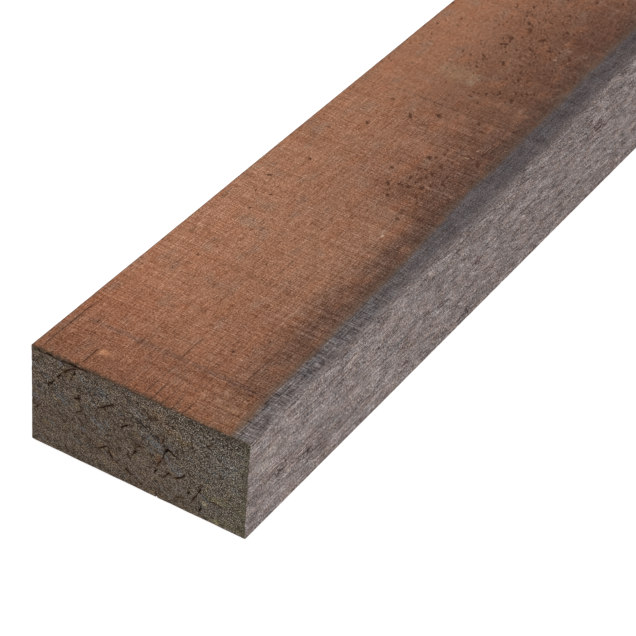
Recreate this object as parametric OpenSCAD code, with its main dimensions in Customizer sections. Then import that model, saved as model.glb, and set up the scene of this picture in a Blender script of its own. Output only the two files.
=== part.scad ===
// Sawn hardwood beam: one piece of solid timber, rectangular in section, with square-cut ends.
// It lies on a wide face. +X runs along the beam, +Y across it and +Z up,
// and the origin is the centre of its underside.

/* [Beam] */
// Length from one sawn end to the other
beam_length = 2000; // [500:50:6000]
// Width across the wide faces
beam_width = 150; // [75:5:300]
// Height between the wide faces
beam_height = 70; // [40:5:200]

/* [Edges] */
// Radius worn onto the four long arrises
arris_radius = 1; // [0.25:0.25:5]

/* [Hidden] */
hardwood = [0.54, 0.38, 0.29];
arris_fn = 32;

// Cross-section, standing on its underside: a rectangle with each corner worn round
module section() {
    round_y = beam_width / 2 - arris_radius;
    round_z = [arris_radius, beam_height - arris_radius];
    translate([-beam_width / 2, arris_radius])
        square([beam_width, beam_height - 2 * arris_radius]);
    translate([-round_y, 0])
        square([2 * round_y, beam_height]);
    for (y = [-round_y, round_y], z = round_z)
        translate([y, z]) circle(r = arris_radius, $fn = arris_fn);
}

// The section carried the whole length, with its own x across the beam and its own y up
module beam() {
    color(hardwood)
        rotate([90, 0, 90])
            linear_extrude(height = beam_length, center = true)
                section();
}

beam();
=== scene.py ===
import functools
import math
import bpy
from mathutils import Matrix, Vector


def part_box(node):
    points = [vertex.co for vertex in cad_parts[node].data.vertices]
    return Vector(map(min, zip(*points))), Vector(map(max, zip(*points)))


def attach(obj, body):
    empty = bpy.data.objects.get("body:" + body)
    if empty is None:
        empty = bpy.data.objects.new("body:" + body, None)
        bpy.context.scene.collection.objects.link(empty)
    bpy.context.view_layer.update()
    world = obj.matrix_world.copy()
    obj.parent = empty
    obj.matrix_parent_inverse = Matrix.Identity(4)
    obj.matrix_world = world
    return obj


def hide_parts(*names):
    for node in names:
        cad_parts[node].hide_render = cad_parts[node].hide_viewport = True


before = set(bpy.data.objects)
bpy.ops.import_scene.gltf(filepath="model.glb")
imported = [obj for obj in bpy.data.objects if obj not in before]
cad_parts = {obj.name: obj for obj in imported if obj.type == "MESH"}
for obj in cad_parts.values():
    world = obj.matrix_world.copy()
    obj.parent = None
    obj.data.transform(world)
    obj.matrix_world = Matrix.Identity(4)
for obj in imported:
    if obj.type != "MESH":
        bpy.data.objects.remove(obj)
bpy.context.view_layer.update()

# Looks of the sawn hardwood beam: one closed mesh stands for the CAD beam, with three materials
# for its sawn wide faces, its weathered sides and its end grain.
#
# Lengths are in millimetres until vertices and lights are placed. A point on the beam is given by
#   s  distance along the beam from its near end, which faces -X,
#   q  distance round the section as if its corners were sharp: across the top from the +Y arris,
#      down the -Y side, back across the underside and up the +Y side.
# Colours are written as they look on a screen, 0 to 255, and the materials turn them to light.

from types import SimpleNamespace

import bpy
import numpy as np
from mathutils import Matrix, Vector
from mathutils.geometry import delaunay_2d_cdt

NODE = "beam"
MM = 0.001
LOW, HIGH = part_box(NODE)
LENGTH, WIDTH, HEIGHT = [round(side / MM, 3) for side in HIGH - LOW]

# ---------------------------------------------------------------- section and surface relief

PERIMETER = 2 * (WIDTH + HEIGHT)
SIDE_START = WIDTH
UNDER_START = WIDTH + HEIGHT
BACK_START = 2 * WIDTH + HEIGHT
CORNERS = (0, SIDE_START, UNDER_START, BACK_START)

# Radius of the long arrises, with its wear, ripple and nicks, and of the edges of the ends
ARRIS_RADIUS = 0.8
ARRIS_WEAR = 0.5
ARRIS_RIPPLE = 0.2
ARRIS_NICK = 0.25
END_RADIUS = 0.55
# How far splinters are torn from the edges of the ends, along the top and along the other faces
TOP_SPLINTER = 0.5
OTHER_SPLINTER = 0.2
# Saw waves, the waviness of all faces, raised fibres and the roughness of the ends
SAW_PITCH = 8.8
SAW_DEPTH = 0.07
WAVINESS = 0.12
FIBRE_HEIGHT = 0.05
CUT_ROUGHNESS = 0.09
# The waviness dies out this near to a corner, and edges sharper than this angle stay sharp
FLAT_RIM = 12
SHARP_ANGLE = 50

# Columns of vertices beside each corner, and the widest gap between columns on each face
CORNER_COLUMNS = (0.45, 1.1, 2.3, 4.6)
FACE_STEPS = (6.0, 7.5, 24.0, 12.0)

# Stations along the beam: closest where the near end is looked at from nearby
END_STATIONS = (0, 0.12, 0.32, 0.6, 1.0, 1.6, 2.4, 3.4, 4.6)
HALF_STATIONS = (6.0, 7.4)
NEAR_ZONE = 540
NEAR_STEP = 1.6
FAR_STEP = 2.95

# Drying cracks along the grain: position round the section, from s, to s, width, depth
LONG_CRACKS = (
    (33.0, 3, 22, 0.4, 1.2),
    (WIDTH + 23.0, 310, 372, 0.4, 0.7),
    (WIDTH + 49.0, 1120, 1290, 0.5, 1.0),
    (UNDER_START + 61.0, 0, 130, 0.6, 1.6),
    (UNDER_START + 98.0, 1770, LENGTH, 0.6, 1.6),
    (BACK_START + 31.0, 0, 240, 0.6, 1.4),
    (BACK_START + 31.0, 900, 1130, 0.5, 1.2),
)

# Cracks in the near end: width, depth, then points (across from the +Y arris, down from the top)
NEAR_CHECKS = (
    (0.6, 1.6, (3, 1.8), (9, 2), (14, 1.7), (19, 2.2), (25, 1.7), (31, 2), (36, 1.7), (42, 2)),
    (0.9, 1.8, (33, 2.8), (30, 4.2), (27.5, 5.9), (25.3, 7.2), (24.2, 9.2), (22.4, 10.3)),
    (0.9, 1.8, (22.2, 10.8), (20.2, 13.4), (18.8, 15.2), (19.8, 16.8)),
    (1.4, 1.8, (16.6, 18.8), (14.6, 20.2), (15.4, 21.6), (13.2, 22), (11.8, 23.4), (13, 24.4)),
    (1.3, 1.6, (30.6, 4.8), (30.7, 7), (29.6, 8.6)),
    (0.8, 1.4, (28.6, 10.6), (27.8, 13.4)),
    (0.8, 1.4, (25.6, 10.6), (24.6, 11.6), (24, 12.8)),
    (1.4, 1.8, (34.6, 20.6), (33, 22.2), (34.4, 23.6), (32.2, 24.2), (30.6, 25.8)),
    (0.9, 1.2, (39.2, 33), (37.8, 33.8)),
    (0.6, 1.0, (36.6, 30.6), (35.4, 32.6), (33.4, 33.4), (31.4, 35)),
    (0.95, 1.8, (47, 24), (49.4, 22.8), (51.2, 21.4), (53.6, 19.6), (56, 18), (58.2, 16)),
    (0.7, 1.2, (50.8, 22.3), (52.8, 23.2)),
    (1.2, 1.8, (62.6, 30.4), (64.8, 29.6), (66.2, 27.8), (68.4, 26.4), (70, 24.8)),
    (0.6, 1.2, (80, 10.6), (81.2, 12.6), (83.2, 15), (84, 17)),
    (0.8, 1.4, (92.4, 21.8), (93.4, 23.6), (92.2, 25.6), (91.6, 28)),
    (2.4, 2.8, (93.6, 34.6), (94.6, 31.6), (96.6, 31.2), (98.6, 32.6), (101, 33.6)),
    (1.1, 2.2, (94, 33.6), (93.2, 36), (92.4, 39.2)),
    (0.7, 1.6, (92.2, 39.6), (90.8, 41), (91, 42.2), (89.6, 43.6), (89.2, 45.4), (88.4, 47.2)),
    (1.6, 2.4, (88.8, 49.2), (87.6, 50.2), (86.8, 51.4), (87.4, 53.2)),
    (1.6, 2.4, (72.2, 46.2), (72.6, 44.4), (73.2, 43.4), (74.4, 42.4)),
    (0.7, 1.8, (73.8, 42), (73.8, 40.4), (74.6, 39), (76.4, 38), (77.6, 36.8), (79.8, 37.6)),
    (1.1, 1.4, (68.8, 45.6), (68.4, 47.4), (69.6, 49)),
    (0.8, 1.2, (54.5, 39.2), (54.2, 41)),
    (0.9, 1.6, (47.4, 53.8), (49, 53.2), (50.4, 51.8), (52.4, 49.8), (54.4, 48.8)),
    (1.4, 1.8, (55, 50.6), (55.6, 52.4), (56.8, 54), (57, 55.4), (58.6, 56.6)),
    (0.7, 1.0, (59.8, 57.2), (61.6, 58.2)),
    (1.4, 1.6, (66.4, 60.4), (67.6, 59.2), (68.4, 60), (69.8, 60.8)),
    (0.8, 1.0, (76.8, 64.2), (78, 65.4), (79.8, 65.2)),
    (0.9, 2.0, (92.6, 53), (94.4, 51.2), (95.8, 48.8), (96.6, 47.4), (98.4, 47.8), (100, 48.5)),
    (1.1, 2.2, (100, 48.7), (102, 48.7), (103.6, 47.6), (105, 46.4), (106.8, 45.2), (107.6, 43.2)),
    (0.7, 1.2, (102, 49.2), (102.4, 51), (102.2, 52)),
    (0.95, 2.4, (112.9, 59.6), (114.2, 58), (115, 56.4), (116, 54.2), (116.8, 52.6)),
    (0.95, 2.4, (116.8, 52.4), (117.3, 50.8), (118.2, 49.2), (118.8, 47.2)),
    (0.9, 2.0, (118, 66.2), (118.3, 64.4), (119.1, 62.6), (119.4, 60.6)),
    (1.5, 1.6, (109.8, 56.4), (110.5, 55.4), (111.6, 54.6)),
    (0.5, 0.9, (101, 64.6), (101.7, 63.4), (103.6, 62), (106, 60.8), (109, 60)),
    (0.9, 1.2, (97, 13), (98.2, 13.2), (99.6, 13.4)),
    (0.9, 1.4, (111.2, 18.4), (112, 20.6), (112.4, 23)),
    (0.6, 1.2, (118.8, 17.4), (121, 15.8), (123.2, 14.2), (125.4, 12.2)),
    (0.6, 1.0, (3.4, 45), (4.8, 43.2), (6.4, 41.2)),
    (0.9, 1.0, (36, 47.4), (37.2, 49)),
    (0.7, 1.0, (125.6, 54.6), (128, 53.8), (130.4, 54.4), (133.4, 55)),
)
FAR_CHECKS = (
    (0.9, 2.6, (24, 50), (31, 44), (36, 41), (43, 33)),
    (0.9, 2.2, (52, 22), (58, 27), (60, 33)),
    (1.1, 3.0, (70, 45), (75, 38), (83, 35), (88, 28)),
    (0.9, 2.0, (96, 52), (99, 45), (105, 42)),
    (0.9, 2.4, (112, 18), (118, 24), (126, 27)),
    (0.8, 1.6, (84, 62), (90, 60), (97, 61)),
    (0.8, 1.8, (14, 14), (20, 19), (22, 26)),
)
# Round each of these cracks: reach of its stain, and rows of vertices this far beside it
FRINGE = 1.6
HALO = (0.3, 1.2)
# Least distance of a crack from the end's edge, its step, its stray and how far it opens
CHECK_MARGIN = 1.7
CHECK_STEP = 0.9
CHECK_WANDER = 0.35
CHECK_OPENING = (0.55, 1.15)
# Step of the grid of vertices over an end, and clear columns beside a long crack, in its widths
CAP_STEP = 2.3
CRACK_CLEAR = 2.2


@functools.cache
def lattice(seed, side=256):
    """Random numbers from -1 to 1 on a square grid."""
    return np.random.default_rng(seed).uniform(-1, 1, (side, side))


def noise(seed, a, b=0.0):
    """Smooth noise from -1 to 1 with a feature about every unit of a and of b."""
    a, b = np.broadcast_arrays(np.asarray(a, float), np.asarray(b, float))
    grid = lattice(seed)
    i, j = np.floor(a).astype(int), np.floor(b).astype(int)
    u, w = a - i, b - j
    u, w = u * u * (3 - 2 * u), w * w * (3 - 2 * w)
    side = len(grid)

    def at(k, m):
        return grid[(i + k) % side, (j + m) % side]

    low = at(0, 0) * (1 - u) + at(1, 0) * u
    high = at(0, 1) * (1 - u) + at(1, 1) * u
    return low * (1 - w) + high * w


def smooth(x, low, high):
    """0 below low, 1 above high, with an even rise between them."""
    x = np.clip((x - low) / (high - low), 0, 1)
    return x * x * (3 - 2 * x)


def on_wide_face(q):
    """1 on the top and the underside, 0 on the two sides."""
    return ((q < SIDE_START) | ((q >= UNDER_START) & (q < BACK_START))).astype(float)


def corner_distance(q):
    """Distance round the section from the nearest corner."""
    return min_over([np.abs((q - c + PERIMETER / 2) % PERIMETER - PERIMETER / 2) for c in CORNERS])


def min_over(values):
    """The least of several arrays at each place."""
    return np.minimum.reduce([np.asarray(v, float) for v in values])


def sharp_section(q):
    """(y, z) at q on the rectangle with sharp corners."""
    q = np.mod(q, PERIMETER)
    face = [q < SIDE_START, q < UNDER_START, q < BACK_START]
    y = np.select(face, [WIDTH / 2 - q, -WIDTH / 2, q - UNDER_START - WIDTH / 2], WIDTH / 2)
    z = np.select(face, [HEIGHT, HEIGHT - (q - SIDE_START), 0], q - BACK_START)
    return y, z


def arris_radius(s, q):
    """Radius worn onto the arris next to q: it wanders along the beam, and each arris differs."""
    k = np.floor(((q + HEIGHT / 2) % PERIMETER) / (PERIMETER / 4)) * 7.3
    slow, quick = noise(11, s / 45 + k, k), noise(12, s / 7 + k, k)
    nicks = smooth(noise(13, s / 3.2 + k, k + 3.5), 0.55, 0.95)
    worn = ARRIS_RADIUS + ARRIS_WEAR * (0.5 + 0.5 * slow)
    return worn + ARRIS_RIPPLE * quick * quick + ARRIS_NICK * nicks


def relief(s, q):
    """Depth of the surface below the sharp box: saw marks on the wide faces, waviness on all."""
    q = np.mod(q, PERIMETER)
    drift = 0.35 * noise(21, s / 90, q / 60)
    stroke = 0.5 - 0.5 * np.cos(2 * math.pi * (s / SAW_PITCH + drift))
    strength = 0.65 + 0.35 * noise(22, s / 30, q / 25)
    marks = SAW_DEPTH * stroke * strength * on_wide_face(q)
    waves = WAVINESS * (0.5 + 0.5 * noise(23, s / 150, q / 45))
    fibres = FIBRE_HEIGHT * (1 + noise(24, s / 22, q / 2.5)) * (1 - on_wide_face(q))
    return marks + (waves + fibres) * smooth(corner_distance(q), 0, FLAT_RIM)


def crack_depth(s, q):
    """(depth, painted shade) of the drying cracks along the grain."""
    depth, dark = np.zeros(s.shape), np.zeros(s.shape)
    for place, start, end, width, deepest in LONG_CRACKS:
        if s.max() < start or s.min() > end:
            continue
        along = np.clip((s - start) / (end - start), 0, 1)
        taper = np.sin(math.pi * along) ** 0.7
        if start <= 0:
            taper = np.cos(math.pi / 2 * along) ** 0.5
        if end >= LENGTH:
            taper = np.sin(math.pi / 2 * along) ** 0.5
        inside = (s >= start - 1e-6) & (s <= end + 1e-6)
        across = np.clip(1 - np.abs(q - place) / width, 0, 1)
        held = inside * taper * across * (0.75 + 0.25 * noise(31, s / 6, place))
        depth = np.maximum(depth, deepest * held)
        dark = np.maximum(dark, held)
    return depth, dark


def skin(s, q, worn_end=0.0):
    """(y, z) of the beam's surface at s and q, drawn in by worn_end at an end's edge."""
    radius = arris_radius(s, q)
    y, z = sharp_section(q)
    inner_y = np.clip(y, -WIDTH / 2 + radius, WIDTH / 2 - radius)
    inner_z = np.clip(z, radius, HEIGHT - radius)
    out_y, out_z = y - inner_y, z - inner_z
    reach = np.hypot(out_y, out_z)
    depth = relief(s, q) + crack_depth(s, q)[0] + worn_end
    scale = (radius - depth) / reach
    return inner_y + out_y * scale, inner_z + out_z * scale


# ------------------------------------------------------------------------------ beam's mesh


def columns():
    """Places round the section that hold a column of vertices."""
    found = set()
    for start, end, step in zip(CORNERS, CORNERS[1:] + (PERIMETER,), FACE_STEPS):
        found.add(float(start))
        for gap in CORNER_COLUMNS:
            found.update((start + gap, end - gap))
        first, last = start + CORNER_COLUMNS[-1], end - CORNER_COLUMNS[-1]
        count = math.ceil((last - first) / step)
        found.update(first + (last - first) * k / count for k in range(1, count))
    for place, _, _, width, _ in LONG_CRACKS:
        found = {q for q in found if abs(q - place) > CRACK_CLEAR * width}
    for place, _, _, width, _ in LONG_CRACKS:
        found.update((place - width, place, place + width))
    return np.array(sorted(found))


def halved(places):
    """The same places with one more midway between each two, round the section."""
    after = np.append(places[1:], places[0] + PERIMETER)
    return np.stack([places, (places + after) / 2], 1).ravel()


def stations():
    """Distances along the beam of the rings of vertices, with the density of each ring."""
    ends = [(s, 2) for s in END_STATIONS] + [(s, 1) for s in HALF_STATIONS]
    first, last = HALF_STATIONS[-1], LENGTH - HALF_STATIONS[-1]
    near = np.arange(first + NEAR_STEP, NEAR_ZONE, NEAR_STEP)
    count = math.ceil((last - near[-1]) / FAR_STEP)
    far = near[-1] + (last - near[-1]) * np.arange(1, count) / count
    middle = [(s, 0) for s in (*near, *far)]
    return ends + middle + [(LENGTH - s, density) for s, density in reversed(ends)]


class Shell:
    """Vertices, faces and, for each face corner, its place (s, q) on the beam."""

    def __init__(self):
        self.points, self.dark, self.stain = [], [], []
        self.faces, self.places, self.kinds = [], [], []
        self.count = 0

    def add_points(self, x, y, z, dark, stain):
        """Adds vertices, in millimetres from the near end, and returns their numbers."""
        self.points.append(np.stack(np.broadcast_arrays(x, y, z), 1))
        self.dark.append(dark)
        self.stain.append(stain)
        start, self.count = self.count, self.count + len(y)
        return np.arange(start, self.count)

    def add_ring(self, s, q):
        """Adds the vertices round the section at s, rounded off where an end is near."""
        from_end = min(s, LENGTH - s)
        radius = END_RADIUS * (1 + 0.4 * noise(41, q / 2.3, s)) + splinters(q, s)
        reach = np.clip(radius - from_end, 0, None)
        worn = radius - np.sqrt(np.clip(radius**2 - reach**2, 0, None))
        along = np.full(len(q), s, float)
        y, z = skin(along, q, worn)
        dark = crack_depth(along, q)[1]
        numbers = self.add_points(along, y, z, dark, np.zeros(len(q)))
        return {"s": s, "q": q, "numbers": numbers, "y": y, "z": z}

    def add_face(self, corners, places, kind):
        """Adds a face of these vertices, with their places on the beam and its material."""
        self.faces.append(corners)
        self.places.append(places)
        self.kinds.append(kind)

    def bridge(self, near, far):
        """Faces between two rings, where one may have twice the columns of the other."""
        a, b = len(near["q"]), len(far["q"])
        coarse, fine = (near, far) if a < b else (far, near)
        for j in range(min(a, b)):
            kind = face_kind(coarse["q"][j])
            if a == b:
                corners = [(near, j), (near, j + 1), (far, j + 1), (far, j)]
                self.add_corners(corners, kind)
                continue
            f, c = [(fine, 2 * j + k) for k in range(3)], [(coarse, j), (coarse, j + 1)]
            if coarse is near:
                trio = ([c[0], c[1], f[1]], [c[0], f[1], f[0]], [c[1], f[2], f[1]])
            else:
                trio = ([f[0], f[1], c[0]], [f[1], c[1], c[0]], [f[1], f[2], c[1]])
            for corners in trio:
                self.add_corners(corners, kind)

    def add_corners(self, corners, kind):
        """Adds a face between rings; its corners are (ring, column)."""
        numbers, places = [], []
        for ring, j in corners:
            n = len(ring["q"])
            numbers.append(ring["numbers"][j % n])
            places.append((ring["s"], ring["q"][j % n] + PERIMETER * (j >= n)))
        self.add_face(numbers, places, kind)


WIDE, SIDE, END = 0, 1, 2


def face_kind(q):
    """Which material the face that starts at column q wears."""
    return WIDE if q < SIDE_START or UNDER_START <= q < BACK_START else SIDE


def splinters(q, s):
    """How much further the saw tore the edge of an end away, most along the top."""
    torn = smooth(noise(42, q / 3.1, s), 0.35, 0.9)
    return torn * np.where(q < SIDE_START, TOP_SPLINTER, OTHER_SPLINTER)


def resample(line, step, wander, seed):
    """(points, directions across, openings) along a line, a step apart and straying a little."""
    line = np.array(line, float)
    lengths = np.hypot(*np.diff(line, axis=0).T)
    total = lengths.sum()
    count = max(3, round(total / step))
    at = np.linspace(0, total, count + 1)
    run = np.concatenate([[0], np.cumsum(lengths)])
    points = np.stack([np.interp(at, run, line[:, k]) for k in (0, 1)], 1)
    along = np.gradient(points, axis=0)
    across = np.stack([-along[:, 1], along[:, 0]], 1)
    across /= np.hypot(*across.T)[:, None]
    inner = np.clip(np.sin(math.pi * at / total), 0, 1) ** 0.3
    random = np.random.default_rng(seed)
    stray = wander * random.uniform(-1, 1, len(at)) * inner
    opening = inner * random.uniform(*CHECK_OPENING, len(at))
    return points + across * stray[:, None], across, opening


def inside_end(points):
    """The points, moved in where they come too near the end's edge."""
    return np.clip(points, CHECK_MARGIN, (WIDTH - CHECK_MARGIN, HEIGHT - CHECK_MARGIN))


def check_fields(checks, u, w, seed):
    """(depth, painted shade, stain) of an end's cracks at points u across and w down."""
    depth, dark, stain = (np.zeros(len(u)) for _ in range(3))
    for k, (width, deepest, *line) in enumerate(checks):
        points, _, opening = resample(line, CHECK_STEP, CHECK_WANDER, seed + k)
        points = inside_end(points)
        for (p, r), (a, b) in zip(zip(points, points[1:]), zip(opening, opening[1:])):
            along = r - p
            offset = np.stack([u, w], 1) - p
            share = np.clip(offset @ along / (along @ along), 0, 1)
            away = np.hypot(*(offset - share[:, None] * along).T)
            held = a + (b - a) * share
            half = width / 2 * np.maximum(held, 0.05)
            inside = np.clip(1 - away / half, 0, 1)
            depth = np.maximum(depth, deepest * held * inside)
            dark = np.maximum(dark, inside * np.minimum(0.4 + 0.8 * held, 1))
            stain = np.maximum(stain, np.clip(1 - away / FRINGE, 0, 1) * held)
    return depth, dark, stain


def grooves(checks, seed, first):
    """(points, lines) of an end's V grooves and of the rows beside them; first is point 0."""
    points, lines = np.empty((0, 2)), []
    for k, (width, _, *line) in enumerate(checks):
        middle, across, opening = resample(line, CHECK_STEP, CHECK_WANDER, seed + k)
        middle = inside_end(middle)
        half = (width / 2 * opening)[:, None]
        start, count = first + len(points), len(middle)
        turn, end = start + count, start + 2 * count - 2
        left = [start, *range(turn, end), turn - 1]
        right = [start, *range(end, end + count - 2), turn - 1]
        for path in (range(start, turn), left, right):
            lines += zip(path, path[1:])
        sides = [inside_end(middle + across * reach)[1:-1] for reach in (half, -half)]
        rows = [middle + side * across * (half + gap) for gap in HALO for side in (1, -1)]
        halo = np.concatenate(rows)
        halo = halo[(halo == inside_end(halo)).all(axis=1)]
        points = np.concatenate([points, middle, *sides, halo])
    return points, lines


def from_border(u, w):
    """Distance of points u across and w down from the nearest side of the end."""
    return min_over([u, w, WIDTH - u, HEIGHT - w])


def open_grid(checks, seed):
    """Points of an uneven grid over an end, clear of its cracks and its border."""
    cols, rows = round(WIDTH / CAP_STEP), round(HEIGHT / CAP_STEP)
    random = np.random.default_rng(seed)
    u, w = np.meshgrid(np.arange(1, cols) * WIDTH / cols, np.arange(1, rows) * HEIGHT / rows)
    u = u.ravel() + random.uniform(-0.4, 0.4, u.size) * CAP_STEP
    w = w.ravel() + random.uniform(-0.4, 0.4, w.size) * CAP_STEP
    stain = check_fields(checks, u, w, seed)[2]
    free = (stain < 0.2) & (from_border(u, w) > CHECK_MARGIN)
    return np.stack([u[free], w[free]], 1)


def cap(shell, ring, checks, seed, near):
    """Closes an end: its cracks are cut in as V grooves, and the rest is a fine uneven grid."""
    edge = np.stack([WIDTH / 2 - ring["y"], HEIGHT - ring["z"]], 1)
    n = len(edge)
    cuts, lines = grooves(checks, seed, n)
    lines = [(k, (k + 1) % n) for k in range(n)] + lines
    points = [Vector(p) for p in np.concatenate([edge, cuts, open_grid(checks, seed)])]
    found = delaunay_2d_cdt(points, lines, [list(range(n))], 1, 1e-5, True)
    spots, origins = found[0], found[3]
    faces = [face for face, inside in zip(found[2], found[5]) if inside]
    spots = np.array([tuple(p) for p in spots])
    depth, dark, stain = check_fields(checks, spots[:, 0], spots[:, 1], seed)
    rough = CUT_ROUGHNESS * (1 + noise(seed, spots[:, 0] / 3, spots[:, 1] / 3))
    depth += rough * smooth(from_border(*spots.T), 0.8, 4)
    x = depth if near else LENGTH - depth
    numbers = np.empty(len(spots), int)
    own = [min((o for o in origin if o < n), default=-1) for origin in origins]
    new = np.array([k < 0 for k in own])
    numbers[new] = shell.add_points(
        x[new], WIDTH / 2 - spots[new, 0], HEIGHT - spots[new, 1], dark[new], stain[new]
    )
    numbers[~new] = ring["numbers"][[k for k in own if k >= 0]]
    for face in faces:
        corners = list(face)
        a, b, c = (spots[k] for k in corners[:3])
        turn = (b[0] - a[0]) * (c[1] - a[1]) - (b[1] - a[1]) * (c[0] - a[0])
        if (turn > 0) == near:
            corners.reverse()
        shell.add_face(
            [numbers[k] for k in corners], [tuple(spots[k]) for k in corners], END + (not near)
        )


# Layout of the baked picture, in pixels: the beam unrolled as two strips, and its two ends above
ATLAS = 1024
ATLAS_GAP = 5
STRIP_SCALE = 0.965
END_SCALE = 2.05


def atlas_places(shell):
    """Picture places of every face corner, 0 to 1."""
    counts = np.array([len(place) for place in shell.places])
    places = np.array([spot for place in shell.places for spot in place], float)
    kinds = np.repeat(shell.kinds, counts)
    starts = np.concatenate([[0], np.cumsum(counts)[:-1]])
    middles = np.repeat(np.add.reduceat(places[:, 0], starts) / counts, counts)
    half = (middles > LENGTH / 2).astype(float)
    strip = np.stack([places[:, 0] - half * LENGTH / 2, places[:, 1]], 1) * STRIP_SCALE
    strip += ATLAS_GAP
    strip[:, 1] += half * (PERIMETER * STRIP_SCALE + ATLAS_GAP)
    ends = places * END_SCALE
    ends[:, 0] += ATLAS_GAP + (kinds - END) * (WIDTH * END_SCALE + 2 * ATLAS_GAP)
    ends[:, 1] += 3 * ATLAS_GAP + 2 * PERIMETER * STRIP_SCALE
    return np.where((kinds < END)[:, None], strip, ends) / ATLAS


def build_beam():
    """The whole beam as one closed mesh object."""
    shell = Shell()
    base = columns()
    by_density = (base, halved(base), halved(halved(base)))
    rings = [shell.add_ring(s, by_density[density]) for s, density in stations()]
    for near, far in zip(rings, rings[1:]):
        shell.bridge(near, far)
    cap(shell, rings[0], NEAR_CHECKS, 100, True)
    cap(shell, rings[-1], FAR_CHECKS, 200, False)
    points = np.concatenate(shell.points) - (LENGTH / 2, 0, 0)
    mesh = bpy.data.meshes.new("beam_timber")
    mesh.from_pydata((points * MM).tolist(), [], shell.faces)
    # The crack attribute holds the painted shade inside the cracks, the stain attribute their
    # stain.
    for name, values in (("crack", shell.dark), ("stain", shell.stain)):
        held = mesh.attributes.new(name, "FLOAT", "POINT")
        held.data.foreach_set("value", np.concatenate(values).astype(np.float32))
    layout = mesh.uv_layers.new(name="OFBake")
    layout.uv.foreach_set("vector", atlas_places(shell).astype(np.float32).ravel())
    mesh.polygons.foreach_set("material_index", [min(kind, END) for kind in shell.kinds])
    mesh.shade_smooth()
    mesh.set_sharp_from_angle(angle=math.radians(SHARP_ANGLE))
    made = bpy.data.objects.new("beam_timber", mesh)
    bpy.context.scene.collection.objects.link(made)
    return made


# ---------------------------------------------------------------------------------- materials

# A screen's levels and gamma, and the darkest that a colour may be, as a share of white
LEVELS = 255
SCREEN_GAMMA = 2.2
DARKEST = 0.03
# Shine, roughness and depth of relief in millimetres: the sawn faces, then the sides and ends
SPECULAR = 0.25
SAWN_ROUGHNESS = 0.72
SAWN_RELIEF = 0.3
DRY_ROUGHNESS = 0.85
DRY_RELIEF = 0.4


class Field:
    """A value or colour in a node tree. Arithmetic on it adds the nodes that work it out."""

    def __init__(self, graph, socket):
        self.graph, self.socket = graph, socket

    def __add__(self, other):
        return self.graph.maths("ADD", self, other)

    def __sub__(self, other):
        return self.graph.maths("SUBTRACT", self, other)

    def __mul__(self, other):
        return self.graph.maths("MULTIPLY", self, other)

    def __truediv__(self, other):
        if isinstance(other, Field):
            return self.graph.maths("DIVIDE", self, other)
        return self * (1 / other)

    def __rsub__(self, other):
        return self.graph.maths("SUBTRACT", other, self)

    __radd__, __rmul__ = __add__, __mul__


def shade(levels):
    """A colour as it looks, 0 to 255, as the numbers that the materials mix."""
    return (*(level / LEVELS for level in levels), 1.0)


class Graph:
    """A node tree, built from expressions."""

    def __init__(self, tree):
        self.tree = tree
        self.tree.nodes.clear()

    def node(self, kind, inputs=None, **settings):
        made = self.tree.nodes.new("ShaderNode" + kind)
        for name, value in settings.items():
            setattr(made, name, value)
        for key, value in (inputs or {}).items():
            self.feed(made.inputs[key], value)
        return made

    def feed(self, socket, value):
        if isinstance(value, Field):
            value = value.socket
        if isinstance(value, bpy.types.NodeSocket):
            self.tree.links.new(value, socket)
        else:
            socket.default_value = value

    def field(self, kind, inputs, output=0, **settings):
        return Field(self, self.node(kind, inputs, **settings).outputs[output])

    def maths(self, operation, *values):
        return self.field("Math", dict(enumerate(values)), operation=operation)

    def rise(self, x, low, high):
        """0 below low, 1 above high, with an even rise between them."""
        inputs = {0: x, 1: low, 2: high}
        return self.field("MapRange", inputs, interpolation_type="SMOOTHSTEP")


@functools.cache
def node_group(build):
    """The node group of a shape: its one output is what build works out from its inputs."""
    names = SHAPE_INPUTS[build]
    tree = bpy.data.node_groups.new(build.__name__, "ShaderNodeTree")
    graph = Graph(tree)
    for name in names:
        tree.interface.new_socket(name, in_out="INPUT", socket_type="NodeSocketFloat")
    tree.interface.new_socket("held", in_out="OUTPUT", socket_type="NodeSocketFloat")
    entry = tree.nodes.new("NodeGroupInput")
    result = build(graph, *(Field(graph, entry.outputs[name]) for name in names))
    graph.feed(tree.nodes.new("NodeGroupOutput").inputs["held"], result)
    return tree


def spot_shape(graph, a, b, x, y, wide, high, cosine, sine, rag, share):
    """A soft patch, share at its middle (x, y) and 0 past its half sizes; rag frays its edge."""
    across, down = a - x, b - y
    along, aside = across * cosine + down * sine, down * cosine - across * sine
    along, aside = along / wide, aside / high
    away = graph.maths("SQRT", along * along + aside * aside)
    return (1 - graph.rise(away + rag, 0.2, 1.0)) * share


def line_shape(graph, a, b, place, start, end, half, dark):
    """A thin line at b = place for a from start to end, fading at both."""
    away = graph.maths("ABSOLUTE", b - place) / half
    run = graph.rise(a - start, 0, 4) * graph.rise(end - a, 0, 8)
    return (1 - graph.rise(away, 0.3, 1.0)) * run * dark


SHAPE_INPUTS = {
    spot_shape: ("a", "b", "x", "y", "wide", "high", "cosine", "sine", "rag", "share"),
    line_shape: ("a", "b", "place", "start", "end", "half", "dark"),
}


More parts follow.
